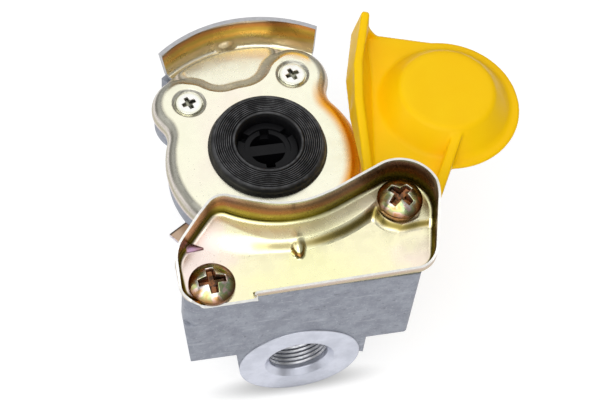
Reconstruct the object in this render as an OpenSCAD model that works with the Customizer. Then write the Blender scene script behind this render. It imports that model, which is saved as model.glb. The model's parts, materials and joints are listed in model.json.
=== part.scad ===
// Palm coupling of a compressed air brake, lying on its back, seal face up.
// Millimetres. The seal's axis is Z, the port points along -Y, z = 0 is the flat back.

/* [Levels] */
// Height of the seal's face above the flat back
seal_face_z = 65; // [60:0.5:75]
// Depth of the cover's flat below the seal's face
cover_drop = 4; // [3:0.1:6]
// Height of the cover's rolled skirt
skirt_h = 5; // [4:0.1:7]
// Depth of the crescent below the cover's flat
crescent_drop = 2.5; // [1.5:0.1:3]
// Height of the block's front above the deck
block_rise = 15.5; // [12:0.5:20]
// Height of the claw's raised floor over its lower floor
claw_lift = 6; // [4:0.1:8]
// Height of the claw's lip over the raised floor's underside
lip_h = 10.5; // [7:0.5:14]

/* [Cover and wing] */
// Thickness of the cover's and the wing's sheet
sheet_t = 2; // [1.2:0.1:2.5]
// Radius of the cover's rolled edge
roll_r = 4.6; // [3:0.1:4.9]
// Radius of the cover's round middle
disc_r = 34; // [31:0.5:35]
// Radius of the two screw lobes
lobe_r = 12.9; // [11:0.1:14]
// Radius of the hollow necks between lobes and middle
neck_r = 7; // [4:0.5:10]
// Radius of the crescent's edge
crescent_r = 45.4; // [44:0.1:46]
// Gap between the crescent's edge and the guide wing
wing_gap = 1.9; // [1.4:0.1:4]
// Distance of the wing's foot from the heads of the cover screws
foot_gap = 0.9; // [0.5:0.1:3]
// Height of the wing's front edge over the seal's face
wing_rise = 5.2; // [3:0.1:9]
// First angle of the wing, seen from the seal's axis
wing_from = 58.5; // [57:0.5:66]
// Last angle of the wing
wing_to = 128.5; // [120:0.5:131]

/* [Claw] */
// Thickness of the claw's sheet
claw_t = 1.8; // [1.2:0.1:2.2]
// Radius of the lip's arc about the seal's axis
lip_r = 38; // [36:0.1:40]
// Radius of the step between the two floors
raised_r = 46.8; // [45:0.1:49]
// Lower edge of the claw
claw_bottom = -62.6; // [-66:0.1:-60]
// Left edge of the claw
claw_left = -39.6; // [-42:0.1:-37]
// Radius of the ear round the pivot screw
ear_r = 12.7; // [11:0.1:14]

/* [Seal and valve] */
// Outer radius of the seal's ribbed head
seal_r = 20; // [19:0.1:21]
// Radius of the seal's bore
seal_bore = 10.6; // [10:0.1:11.5]
// Number of ribs on the seal's face
ribs = 8; // [5:1:10]
// Radius of the tappet
tappet_r = 8; // [7:0.1:8.5]
// Stroke of the tappet
tappet_stroke = 3; // [1:0.5:4]
// Thickness of the rubber valve disc
disc_t = 3; // [2:0.1:4]
// Radius of the valve spring's coil
spring_r = 6.6; // [6:0.1:7]
// Radius of the valve spring's wire
spring_wire = 0.7; // [0.5:0.05:0.8]
// Sheet of the spring's seat
seat_t = 1.2; // [0.8:0.1:1.6]

/* [Port and body] */
// Minor radius of the port's M22 x 1.5 thread
thread_r = 10.2; // [9:0.05:11]
// Length of the port's thread
thread_len = 18; // [14:1:22]
// Radius of the port's flange, also the height of its axis
flange_r = 20.9; // [18:0.1:22]
// Sideways offset of the port's axis from the seal's
port_x = 2; // [0:0.1:4]
// Port face along Y
port_face = -62.1; // [-64:0.1:-60]
// Left edge of the block's front wall
block_left = -38.2; // [-39:0.1:-36]
// Right edge of the block
block_right = 39; // [38:0.1:40]
// Left side of the block at its back
flank = -26; // [-28:0.1:-24]
// Depth of the block's side walls in front of the place where the left one is drawn in
side_d = 7.5; // [6:0.5:12]
// Thickness of the deck under the cover
deck_t = 8; // [7:0.5:12]
// Radius of the valve chamber
chamber_r = 16; // [15:0.5:17]

/* [Cap] */
// Position of the cap's pivot
pivot = [35.6, -38.2];
// Angle through which the cap closes
cap_swing = 75; // [70:1:85]
// Distance by which the shut cap's middle stays short of the seal's axis
cap_short = 1.2; // [0:0.1:2]
// Radius of the cap's rim
rim_r = 26.4; // [24:0.1:27]
// Thickness of the cap's wall
cap_t = 2; // [1.6:0.1:2.4]
// Height of the dome over the rim
dome_h = 8.6; // [7:0.1:9.5]
// Radius of the dome's flat
dome_flat_r = 15.2; // [14:0.1:18]
// Tip of the finger fin, with the cap open
fin_tip = [40.7, 38.6];
// Bend of the finger fin
fin_bend = [34.1, 19];
// Place where the finger fin's top starts to fall
fin_foot = [31.4, 5];
// Low end of the finger fin
fin_heel = [30.3, -20.5];
// Rise of the fin's top from its bend to its tip
fin_rise = 2; // [0:0.1:3]
// Spread of the fin's base to its left and to its right
fin_spread = [2, 5];
// Corner of the arm between dome and hub
arm_corner = [52.3, -32.2];
// Thickness of the arm's rib
rib_t = 3.4; // [2.4:0.1:4]
// Thickness of the finger fin
fin_t = 2.8; // [2:0.1:3.2]
// Radius of the cap's hub
hub_r = 4.8; // [4.6:0.1:5]
// Clearance between the cap and the seal's face
cap_gap = 0.4; // [0.3:0.1:1]

/* [Screws] */
// Direction of the left cover screw from the seal's axis
screw_angle_l = 137.3; // [134:0.1:141]
// Direction of the right cover screw
screw_angle_r = 64.1; // [60:0.1:68]
// Distance of the screw lobes from the crescent's edge
lobe_inset = 0.2; // [0:0.05:1]
// Position of the lower left claw screw
claw_screw_at = [-29, -56.8];
// Length of the countersunk and of the claw screw
screw_len = 16; // [12:1:20]
// Shank radius of all screws
shank_r = 2.5; // [2:0.1:2.6]
// Head radius of the countersunk screws
csk_r = 4.8; // [4.2:0.1:5.2]
// Head radius of the pan-head screws
pan_r = 7.5; // [6.5:0.1:7.8]
// Head height of the pan-head screws
pan_h = 4.6; // [3.5:0.1:5.5]

/* [Fits] */
// Gap between curved faces of pieces that don't run on each other
fit = 0.3; // [0.2:0.05:0.4]
// Radial clearance of running fits
run = 0.05; // [0.02:0.01:0.1]

/* [Hidden] */
$fn = 96;
cover_top = seal_face_z - cover_drop;
deck_z = cover_top - skirt_h;
crescent_top = cover_top - crescent_drop;
block_top = deck_z + block_rise;
raised_bot = block_top + claw_lift;
lip_top = raised_bot + lip_h;
cap_z = seal_face_z + cap_gap;
cap_top = cap_z + cap_t;
port_z = flange_r;
disc_c = [-1.3, -3];
wing_c = [-0.8, 0];
wing_r = crescent_r + wing_gap;
lobe_ring = crescent_r - lobe_r - lobe_inset;
wing_foot = lobe_ring + csk_r + foot_gap;
cover_screw_l = lobe_ring * [cos(screw_angle_l), sin(screw_angle_l)];
cover_screw_r = lobe_ring * [cos(screw_angle_r), sin(screw_angle_r)];
deck_bot = deck_z - 18;
block_back = deck_z - 25;
channel_r = raised_r - claw_t + 0.4;
bush_r = hub_r - 1.3;
hub_top = raised_bot - 0.9;
cup_r = hub_r + 0.6 + claw_t;
carrier_z = deck_z - 6;
collar_r = seal_r + 3.2;
chamber_z = 10;
seat_z = carrier_z - 0.6;
cap_reach = norm(pivot) - cap_short;
cap_open = atan2(-pivot[1], -pivot[0]) - cap_swing;
cap_c = pivot + cap_reach * [cos(cap_open), sin(cap_open)];
fin_top = raised_bot - 0.5;

// Point at radius r and angle a
function polar(r, a) = [r * cos(a), r * sin(a)];

// Points of an arc from angle a to angle b in n steps
function arc(c, r, a, b, n) = [for (i = [0 : n]) c + polar(r, a + (b - a) * i / n)];

// Angle of the normal of the outer tangent to two circles, on the right of the way from p to q
function tangent(p, a, q, b) =
    atan2(q[1] - p[1], q[0] - p[0]) - acos((a - b) / norm(q - p));

// Centre of a circle of radius f that touches two circles from outside, on side s of their line
function between(p, a, q, b, f, s) =
    let (d = norm(q - p), u = (q - p) / d,
         x = ((a + f) ^ 2 - (b + f) ^ 2 + d ^ 2) / (2 * d),
         y = s * sqrt((a + f) ^ 2 - x ^ 2))
    p + u * x + [-u[1], u[0]] * y;

// Solid through rows of points, closed by the first and the last row
module loft(rows) {
    n = len(rows);
    m = len(rows[0]);
    sides = [for (i = [0 : n - 2], j = [0 : m - 1], k = [0, 1])
        k == 0 ? [i * m + j, i * m + (j + 1) % m, (i + 1) * m + j]
               : [i * m + (j + 1) % m, (i + 1) * m + (j + 1) % m, (i + 1) * m + j]];
    polyhedron([for (r = rows) for (p = r) p],
               concat(sides, [[for (j = [m - 1 : -1 : 0]) j]], [[for (j = [0 : m - 1]) (n - 1) * m + j]]));
}

// Round wire wound about Z
module coil(r, wire, z0, z1, turns) {
    steps = turns * 22;
    loft([for (i = [0 : steps])
        let (a = 360 * turns * i / steps, z = z0 + wire + (z1 - z0 - 2 * wire) * i / steps)
        [for (j = [0 : 7])
            let (b = 45 * j, q = r + wire * cos(b))
            [q * cos(a), q * sin(a), z + wire * sin(b)]]]);
}

// Direction from p to q
function dir(p, q) = atan2(q[1] - p[1], q[0] - p[0]);

// Arc about c from the direction of p to that of q, turning left, without its last point
function left(c, r, p, q, n) =
    let (a = dir(c, p), s = (dir(c, q) - a + 720) % 360)
    [for (i = [0 : n - 1]) c + polar(r, a + s * i / n)];

// The same, turning right
function right(c, r, p, q, n) =
    let (a = dir(c, p), s = (a - dir(c, q) + 720) % 360)
    [for (i = [0 : n - 1]) c + polar(r, a - s * i / n)];

// Centres of the cover's four necks: right, right of the crescent, left of the crescent, left
necks = [for (k = [[cover_screw_r, -1], [cover_screw_r, 1], [cover_screw_l, -1], [cover_screw_l, 1]])
    between(disc_c, disc_r, k[0], lobe_r, neck_r, k[1])];

// The cover's edge along the crescent, inset by i, from point p on the right to q on the left
function inner_edge(i, p, q) =
    concat(left(cover_screw_r, lobe_r - i, p, necks[1], 8),
           right(necks[1], neck_r + i, cover_screw_r, disc_c, 4),
           left(disc_c, disc_r - i, necks[1], necks[2], 3),
           right(necks[2], neck_r + i, disc_c, cover_screw_l, 4),
           left(cover_screw_l, lobe_r - i, necks[2], q, 8));

// The cover's whole edge, inset by i
function cover_edge(i) =
    concat(left(disc_c, disc_r - i, necks[3], necks[0], 24),
           right(necks[0], neck_r + i, disc_c, cover_screw_r, 4),
           inner_edge(i, necks[0], necks[3]),
           right(necks[3], neck_r + i, cover_screw_l, disc_c, 4));

// A plan's points at height z
function lift(points, z) = [for (p = points) [p[0], p[1], z]];

// The cover's main field: a sheet with a flat top and an edge rolled down to the deck
module pillow() {
    mid = cover_top - roll_r;
    small = roll_r - sheet_t;
    loft(concat(
        [for (a = [90 : -22.5 : 0]) lift(cover_edge(roll_r * (1 - cos(a))), mid + roll_r * sin(a))],
        [lift(cover_edge(0), deck_z), lift(cover_edge(sheet_t), deck_z)],
        [for (a = [0 : 45 : 90]) lift(cover_edge(roll_r - small * cos(a)), mid + small * sin(a))]));
}

// Plan of the crescent: the outer arc, and back inside the main field's sheet
function crescent_edge() =
    let (a = wing_from + 4, b = wing_to + 2,
         back = inner_edge(sheet_t * 0.6, polar(crescent_r, a), polar(crescent_r, b)))
    concat(arc([0, 0], crescent_r + 0.5, a, b, 12), [for (k = [len(back) - 1 : -1 : 0]) back[k]]);

// The cover's lower field, with its own rolled edge
module crescent() {
    roll = min(2.2, (crescent_top - deck_z) * 0.9);
    difference() {
        translate([0, 0, deck_z]) linear_extrude(crescent_top - deck_z) polygon(crescent_edge());
        translate([0, 0, crescent_top - roll]) rotate_extrude() difference() {
            translate([crescent_r - roll, -9]) square([9, 20]);
            translate([crescent_r - roll - 1, -10]) square([roll + 1, 10]);
            translate([crescent_r - roll, 0]) circle(roll);
        }
    }
}

// Wedge of a plan between two angles
module wedge(from, to, r) {
    polygon(concat([[0, 0]], arc([0, 0], r, from, to, 12)));
}

module cover_plate() {
    color("khaki") difference() {
        union() {
            pillow();
            crescent();
        }
        translate([0, 0, deck_z]) cylinder(r = seal_r + fit, h = skirt_h + 1);
        for (p = [cover_screw_l, cover_screw_r]) {
            translate([p[0], p[1], cover_top - csk_r + shank_r])
                cylinder(r1 = shank_r + fit, r2 = csk_r + fit, h = csk_r - shank_r);
            translate([p[0], p[1], deck_z]) cylinder(r = shank_r + fit, h = skirt_h + 1);
        }
    }
}

module guide_wing() {
    foot_z = deck_z - sheet_t;
    out = wing_r + sheet_t;
    bend = 1.2;
    color("goldenrod") translate(wing_c) {
        rotate([0, 0, wing_from]) rotate_extrude(angle = wing_to - wing_from) {
            translate([wing_foot, foot_z]) square([out - bend - wing_foot, sheet_t]);
            translate([wing_r, foot_z + bend]) square([sheet_t, seal_face_z + wing_rise - foot_z - bend]);
            translate([out - bend, foot_z + bend]) intersection() {
                circle(bend);
                translate([0, -bend]) square(bend);
            }
            difference() {
                translate([wing_r - bend, foot_z + sheet_t]) square(bend);
                translate([wing_r - bend, foot_z + sheet_t + bend]) circle(bend);
            }
        }
        intersection() {
            rotate([0, 0, 97]) translate([wing_r + 3.6, 0, foot_z + sheet_t]) sphere(5);
            translate([0, 0, foot_z + sheet_t / 2]) cylinder(r = wing_r + sheet_t / 2, h = 9);
        }
    }
}

// Outline of the claw, inset by i
function claw_outline(i) =
    let (bl = [claw_left + 7, claw_bottom + 7],
         br = [38.2, claw_bottom + 4],
         ear = pivot + [-0.4, -1.8],
         tip = polar(lip_r + 6, -121.5),
         mid = [claw_left + 10, -50],
         a = tangent(br, 4, ear, ear_r),
         b = atan2(ear[1], ear[0]) - acos((lip_r + ear_r) / norm(ear)),
         c = tangent(tip, 6, mid, 10))
    concat(arc(bl, 7 - i, 180, 270, 8), arc(br, 4 - i, -90, a, 6), arc(ear, ear_r - i, a, b + 180, 20),
           arc([0, 0], lip_r + i, b, -121.5, 20), arc(tip, 6 - i, 58.5, c + 360, 10),
           arc(mid, 10 - i, c + 360, 180, 6));

// Plan of the raised floor, inset by i
module raised_plan(i) {
    low = pivot[1] - cup_r + i;
    circle(raised_r - i);
    translate(pivot) circle(cup_r - i);
    translate([pivot[0], low]) square([30, 40]);
}

module claw_plate() {
    slope_y = pivot[1] + 1;
    color("gold") difference() {
        union() {
            translate([0, 0, block_top]) linear_extrude(claw_t) difference() {
                polygon(claw_outline(0));
                raised_plan(claw_t);
            }
            translate([0, 0, raised_bot]) linear_extrude(claw_t) intersection() {
                polygon(claw_outline(0));
                raised_plan(0);
            }
            translate([0, 0, block_top]) linear_extrude(claw_lift + claw_t) intersection() {
                polygon(claw_outline(0));
                difference() {
                    raised_plan(0);
                    raised_plan(claw_t);
                }
            }
            difference() {
                translate([0, 0, block_top]) linear_extrude(lip_top - block_top) difference() {
                    polygon(claw_outline(0));
                    polygon(claw_outline(claw_t));
                }
                translate([0, 0, block_top - 1]) linear_extrude(claw_lift + 1) raised_plan(claw_t);
                rotate([90, 0, 90]) linear_extrude(120, center = true)
                    polygon([[slope_y, lip_top], [claw_bottom - 8, block_top + 1.4],
                             [claw_bottom - 8, lip_top + 9], [slope_y, lip_top + 9]]);
                translate([claw_left + 8, claw_bottom - 1, block_top + claw_t]) cube([15, claw_t + 2, 30]);
            }
            translate([claw_left + 4.6, -43.5, block_top]) rotate([0, 0, 150]) translate([0, -2.2, 0])
                cube([6.4, 4.4, claw_t]);
            intersection() {
                translate([0.9, -raised_r - 0.8, block_top + claw_t]) sphere(4);
                translate([-5, -raised_r - 6, block_top + 0.5]) cube([12, 7, claw_lift]);
            }
        }
        translate([claw_screw_at[0], claw_screw_at[1], block_top + claw_t]) cylinder(r = pan_r + fit, h = 30);
        translate([claw_screw_at[0], claw_screw_at[1], block_top - 1]) cylinder(r = shank_r + fit, h = 9);
        translate([pivot[0], pivot[1], raised_bot - 1]) cylinder(r = shank_r + fit, h = 9);
    }
}

// Plan of the block's raised front
module front_plan() {
    difference() {
        polygon(claw_outline(0.7));
        circle(channel_r);
        translate([10, pivot[1] - hub_r - 2.4]) square([60, 60]);
        translate(pivot) circle(hub_r + 3);
    }
}

// Plan of the block, with rounded corners at its front wall
module block_plan(wall) {
    polygon(concat(arc([block_left + 2.5, wall + 2.5], 2.5, 184, 270, 4),
                   arc([block_right - 1.5, wall + 1.5], 1.5, 270, 360, 4),
                   [[block_right, -22], [flank, -22], [block_left + 0.1, wall + side_d]]));
}

module body_casting() {
    wall = claw_bottom + 0.9;
    web = flange_r + 1.6;
    color("silver") difference() {
        union() {
            translate([0, 0, deck_z - deck_t]) linear_extrude(deck_t) {
                translate(disc_c) circle(disc_r - 0.9);
                translate(cover_screw_l) circle(lobe_r - 1);
                translate(cover_screw_r) circle(lobe_r - 1);
                translate(wing_c) intersection() {
                    circle(wing_r + sheet_t - 0.5);
                    wedge(wing_from + 0.6, wing_to - 0.6, 70);
                }
            }
            translate([0, 0, deck_z - 1]) linear_extrude(skirt_h - sheet_t + 1) {
                translate(disc_c) circle(disc_r - roll_r);
                translate(cover_screw_l) circle(lobe_r - roll_r);
                translate(cover_screw_r) circle(lobe_r - roll_r);
            }
            for (p = [cover_screw_l, cover_screw_r])
                translate([p[0], p[1], deck_z - 15]) cylinder(r = shank_r + 3.5, h = 14);
            cylinder(r = chamber_r + 7, h = deck_z - 1);
            translate([port_x, port_face, port_z]) rotate([-90, 0, 0]) cylinder(r = flange_r, h = -port_face);
            translate([port_x - flange_r, wall, port_z]) cube([2 * flange_r, -wall, deck_bot - port_z + 1]);
            rotate([90, 0, 0]) translate([port_x, 0, -wall - 9]) linear_extrude(9)
                polygon([[-flange_r, port_z], [-web + 0.2, block_back + 2], [-web + 0.2, deck_bot],
                         [web, deck_bot], [web, port_z - 1], [flange_r, port_z]]);
            intersection() {
                translate([0, 0, block_back]) linear_extrude(block_top - block_back) block_plan(wall);
                rotate([90, 0, 0]) linear_extrude(90)
                    polygon([[block_left + 2.4, block_back], [block_left, deck_z - 2], [block_left, deck_z],
                             [block_right + 1, deck_z], [block_right + 1, block_back]]);
            }
            translate([0, 0, deck_z - 1]) linear_extrude(block_rise + 1) intersection() {
                front_plan();
                block_plan(wall);
            }
            translate([pivot[0], pivot[1], block_back]) cylinder(r = hub_r + 4.4, h = deck_z - block_back);
        }
        translate([0, 0, chamber_z]) cylinder(r = chamber_r, h = deck_z);
        translate([0, 0, carrier_z]) cylinder(r = collar_r + fit, h = deck_z);
        translate([port_x, port_face, port_z]) rotate([-90, 0, 0]) {
            translate([0, 0, -0.1]) cylinder(r1 = thread_r + 2, r2 = thread_r, h = 2.1);
            cylinder(r = thread_r, h = thread_len + 2);
            cylinder(r = thread_r - 1.2, h = -port_face);
        }
        translate(concat(wing_c, deck_z - sheet_t)) linear_extrude(sheet_t + 0.1) difference() {
            wedge(wing_from - 2, wing_to + 2, 70);
            circle(wing_foot - 0.4);
        }
        for (p = [cover_screw_l, cover_screw_r])
            translate([p[0], p[1], deck_z - 13]) cylinder(r = shank_r + fit, h = 30);
        translate([claw_screw_at[0], claw_screw_at[1], block_top - 16]) cylinder(r = shank_r + fit, h = 30);
        translate([pivot[0], pivot[1], deck_z - 14]) cylinder(r = shank_r + fit, h = 30);
    }
}

module seal_ring() {
    low = carrier_z + 4;
    high = cover_top - sheet_t;
    first = seal_bore + 1.8;
    pitch = (seal_r - 1.5 - first) / ribs;
    color("dimgray") rotate_extrude() polygon(concat(
        [[seal_bore, low], [collar_r, low], [collar_r, high], [seal_r, high]],
        arc([seal_r - 1.5, seal_face_z - 1.8], 1.5, 0, 80, 4),
        [for (i = [ribs - 1 : -1 : 0], k = [0, 1])
            k == 0 ? [first + pitch * (i + 0.62), seal_face_z]
                   : [first + pitch * (i + 0.12), seal_face_z - 0.5]],
        [[first - 0.4, seal_face_z - 0.1], [seal_bore + 0.5, seal_face_z - 0.3],
         [seal_bore, seal_face_z - 1]]));
}

module seal_carrier() {
    inner = tappet_r + run;
    outer = seal_bore - fit;
    tube_top = cover_top - 0.6;
    color("#26262a") difference() {
        union() {
            translate([0, 0, carrier_z]) cylinder(r = collar_r, h = 4);
            translate([0, 0, carrier_z]) cylinder(r = outer, h = tube_top - carrier_z);
            translate([0, 0, seat_z]) cylinder(r = tappet_r + 2.6, h = 1);
        }
        translate([0, 0, seat_z - 1]) cylinder(r = inner, h = 40);
        translate([0, 0, seat_z - 1]) cylinder(r = inner + 1.1, h = 1.6);
        translate([0, 0, carrier_z - 0.01]) difference() {
            cylinder(r = collar_r - 1.5, h = 1.7);
            translate([0, 0, -1]) cylinder(r = collar_r - 3.7, h = 4);
        }
        for (a = [35, 145])
            rotate([0, 0, a]) translate([inner - 1, -1.8, tube_top - 3.4]) cube([6, 3.6, 5]);
    }
}

module carrier_o_ring() {
    color("#1c1c1e") translate([0, 0, carrier_z + 0.85]) rotate_extrude()
        translate([collar_r - 2.6, 0]) circle(0.8, $fn = 48);
}

module valve_tappet() {
    low = seat_z - disc_t - 2.6;
    top = cover_top - 1.2;
    color("#303036") difference() {
        union() {
            translate([0, 0, low]) cylinder(r = tappet_r + 4, h = 2.6);
            translate([0, 0, low]) cylinder(r = tappet_r, h = top - low);
            translate([0, 0, low - 2]) cylinder(r = spring_r - spring_wire - 3 * fit, h = 3);
        }
        difference() {
            translate([0, 0, seat_z]) cylinder(r = tappet_r - 1.8, h = 30);
            translate([-tappet_r, -2, seat_z]) cube([2 * tappet_r, 4, top - seat_z - 0.4]);
        }
        for (a = [90, 270])
            rotate([0, 0, a]) translate([0, -3, seat_z + 0.01]) cube([20, 6, 2.8]);
        for (a = [90, 270])
            rotate([0, 0, a]) translate([tappet_r - 3, -1.6, top - 3]) cube([6, 3.2, 4]);
    }
}

module valve_disc() {
    color("#222224") translate([0, 0, seat_z - disc_t]) difference() {
        cylinder(r = tappet_r + 3.6, h = disc_t);
        translate([0, 0, -1]) cylinder(r = tappet_r + fit, h = disc_t + 2);
    }
}

module valve_spring() {
    color("lightsteelblue") coil(spring_r, spring_wire, chamber_z + seat_t, seat_z - disc_t - 2.6, 7);
}

module spring_seat() {
    inner = spring_r + spring_wire + 3 * fit;
    color("lightgray") translate([0, 0, chamber_z]) difference() {
        cylinder(r = inner + seat_t, h = 3 * seat_t);
        translate([0, 0, seat_t]) cylinder(r = inner, h = 3 * seat_t);
    }
}

// Cross recess, its mouth at z = 0
module cross(size, w, depth) {
    for (a = [0, 90])
        rotate([0, 0, a]) translate([-size / 2, -w / 2, -depth]) cube([size, w, depth + 1]);
}

// Countersunk screw, the top of its head at z = 0
module csk_screw(length) {
    difference() {
        union() {
            translate([0, 0, shank_r - csk_r]) cylinder(r1 = shank_r, r2 = csk_r, h = csk_r - shank_r);
            translate([0, 0, -length]) cylinder(r = shank_r, h = length - 1);
        }
        rotate([0, 0, 20]) cross(5, 1.3, 1.8);
    }
}

// Pan-head screw, the underside of its head at z = 0
module pan_screw(length) {
    dome = (pan_r ^ 2 + (pan_h - 1.2) ^ 2) / (2 * (pan_h - 1.2));
    difference() {
        union() {
            cylinder(r = pan_r, h = 1.2);
            intersection() {
                translate([0, 0, pan_h - dome]) sphere(dome);
                translate([0, 0, 1]) cylinder(r = pan_r, h = pan_h);
            }
            translate([0, 0, -length]) cylinder(r = shank_r, h = length + 1);
        }
        translate([0, 0, pan_h]) cross(8.4, 2, 3);
    }
}

module cover_screw_left() {
    color("whitesmoke") translate(concat(cover_screw_l, cover_top)) csk_screw(screw_len);
}

module cover_screw_right() {
    color("whitesmoke") translate(concat(cover_screw_r, cover_top)) csk_screw(screw_len);
}

module claw_screw() {
    color("tan") translate(concat(claw_screw_at, block_top + claw_t)) pan_screw(screw_len);
}

module pivot_screw() {
    color("tan") translate(concat(pivot, raised_bot + claw_t)) pan_screw(raised_bot + claw_t - deck_z + 12);
}

module pivot_bush() {
    color("lightgray") translate(concat(pivot, deck_z)) difference() {
        cylinder(r = bush_r, h = raised_bot - deck_z);
        translate([0, 0, -1]) cylinder(r = shank_r + fit, h = 60);
    }
}

module thrust_washer() {
    color("lightgray") translate(concat(pivot, hub_top + 0.05)) difference() {
        cylinder(r = hub_r + 0.2, h = 0.8);
        translate([0, 0, -1]) cylinder(r = bush_r + fit, h = 3);
    }
}

module cap_spring() {
    color("lightsteelblue") translate(concat(pivot, 0))
        coil(hub_r + 1.3, 0.6, deck_z + 0.1, cap_z - 0.1, 5);
}

// Upright wall of the cap along a line, with heights at both ends
module wall(p, q, t, h0, h1) {
    d = q - p;
    translate([p[0], p[1], cap_z]) rotate([90, 0, dir(p, q)]) linear_extrude(t, center = true)
        polygon([[0, 0], [norm(d), 0], [norm(d), h1], [0, h0]]);
}

// Cross-section of the finger fin at c, square to direction a: base with spreads l and r, top t wide at z
function fin_row(c, a, l, r, t, z) =
    let (d = [sin(a), -cos(a)])
    [concat(c - d * (t / 2 + l), cap_z), concat(c + d * (t / 2 + r), cap_z),
     concat(c + d * t / 2, z), concat(c - d * t / 2, z)];

// The finger fin: sections carried from its heel over the bend to a rounded tip
module fin() {
    a = dir(fin_bend, fin_tip);
    tip_z = fin_top + fin_rise;
    l = fin_spread[0];
    r = fin_spread[1];
    u = [cos(a), sin(a)];
    loft([fin_row(fin_heel, 90, 0.2, r * 0.5, fin_t, cap_top + 1.5),
          fin_row(fin_foot, 84, l * 0.4, r, fin_t, fin_top),
          fin_row(fin_bend, (a + 80) / 2, l, r, fin_t, fin_top),
          fin_row(fin_tip, a, l * 1.3, 1, fin_t, tip_z),
          fin_row(fin_tip + u * fin_t * 0.26, a, l * 1.1, 0.8, fin_t * 0.82, tip_z - 0.2),
          fin_row(fin_tip + u * fin_t * 0.44, a, l * 0.8, 0.4, fin_t * 0.36, tip_z - 0.9)]);
}

module dust_cap() {
    base_r = rim_r - 2.4;
    top_z = cap_top + dome_h;
    gusset = fin_tip + [4.9, -2.4];
    rib_out = [1.1, -0.65];
    rib_top = cap_c + [0.4, -dome_flat_r - 0.6];
    rib_end = arm_corner - rib_out;
    color("#FCC80F") difference() {
        union() {
            translate([0, 0, cap_z]) linear_extrude(cap_t)
                polygon([fin_tip, fin_bend - [3.2, 0], fin_foot - [2, 0], fin_heel - [1.4, 0],
                         pivot + [-hub_r + 0.3, 0], pivot + [hub_r - 1, -1], arm_corner, rib_top + rib_out,
                         cap_c, cap_c + [3, rim_r - 0.6], gusset + [0.4, 0.8]]);
            translate(concat(cap_c, 0)) rotate_extrude() polygon(concat(
                [[0, cap_z + 0.5], [base_r, cap_z], [rim_r - 0.5, cap_z]],
                arc([rim_r - 0.8, cap_top - 0.8], 0.8, 0, 90, 3),
                arc([base_r + 0.4, cap_top + 3], 3, 270, 224, 4),
                arc([dome_flat_r - 0.4, top_z - 3], 3, 44, 90, 5), [[0, top_z]]));
            fin();
            wall(fin_tip - [0.6, 1.8], gusset, 1.8, (fin_top - cap_z) * 0.85, cap_t);
            wall(rib_top, rib_end, rib_t, cap_t + dome_h - 1, cap_t + 2.4);
            wall(rib_end, pivot + [1, 1], rib_t - 0.4, cap_t + 2.4, cap_t + 2.6);
            translate(concat(pivot, deck_z + 1)) cylinder(r = hub_r, h = hub_top - deck_z - 1);
        }
        translate(concat(cap_c, cap_z - 0.01))
            cylinder(r1 = base_r - cap_t - 0.6, r2 = dome_flat_r - cap_t, h = dome_h + 0.01);
        translate(concat(pivot, 0)) cylinder(r = bush_r + run, h = 200);
    }
}

body_casting();
cover_plate();
guide_wing();
claw_plate();
seal_ring();
seal_carrier();
carrier_o_ring();
valve_tappet();
valve_disc();
valve_spring();
spring_seat();
cover_screw_left();
cover_screw_right();
claw_screw();
pivot_screw();
pivot_bush();
thrust_washer();
cap_spring();
dust_cap();
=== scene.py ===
import json

import bpy
import numpy as np
from mathutils import Matrix, Vector


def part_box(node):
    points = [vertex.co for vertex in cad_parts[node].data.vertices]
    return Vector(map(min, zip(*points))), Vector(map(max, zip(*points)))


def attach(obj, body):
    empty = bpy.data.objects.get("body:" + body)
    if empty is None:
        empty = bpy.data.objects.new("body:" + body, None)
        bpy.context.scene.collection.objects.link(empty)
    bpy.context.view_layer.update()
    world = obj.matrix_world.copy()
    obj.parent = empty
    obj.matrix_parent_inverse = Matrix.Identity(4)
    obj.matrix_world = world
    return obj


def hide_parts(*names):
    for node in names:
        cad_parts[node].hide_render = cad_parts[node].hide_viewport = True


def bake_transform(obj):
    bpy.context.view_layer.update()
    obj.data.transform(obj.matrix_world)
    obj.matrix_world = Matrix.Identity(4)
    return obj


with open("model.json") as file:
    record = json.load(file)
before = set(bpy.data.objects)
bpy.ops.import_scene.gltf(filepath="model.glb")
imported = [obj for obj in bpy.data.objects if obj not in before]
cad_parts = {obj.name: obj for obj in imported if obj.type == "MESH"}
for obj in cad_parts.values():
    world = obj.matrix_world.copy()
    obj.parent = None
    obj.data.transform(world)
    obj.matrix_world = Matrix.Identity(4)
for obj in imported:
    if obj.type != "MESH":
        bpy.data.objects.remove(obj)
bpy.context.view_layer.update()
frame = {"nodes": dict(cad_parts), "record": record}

bl_info = {
    "name": "Palm coupling dresser",
    "version": (1, 0, 0),
    "blender": (4, 5, 0),
    "location": "3D View > Sidebar > Coupling",
    "description": "Builds the visible surfaces, finishes and studio of an air brake palm coupling",
    "category": "Object",
}

MM = 0.001


def corners(node):
    """Lowest and highest corner of a CAD node in millimetres."""
    low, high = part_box(node)
    return np.array(low) / MM, np.array(high) / MM


# Levels and reaches read from the solids
SEAL_FACE = corners("seal_ring")[1][2]
DECK, COVER_TOP = corners("cover_plate")[0][2], corners("cover_plate")[1][2]
CLAW_UNDER, LIP_TOP = corners("claw_plate")[0][2], corners("claw_plate")[1][2]
CLAW_BOTTOM = corners("claw_plate")[0][1]
WING_TOP = corners("guide_wing")[1][2]
PORT_FACE = corners("body_casting")[0][1]

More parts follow.
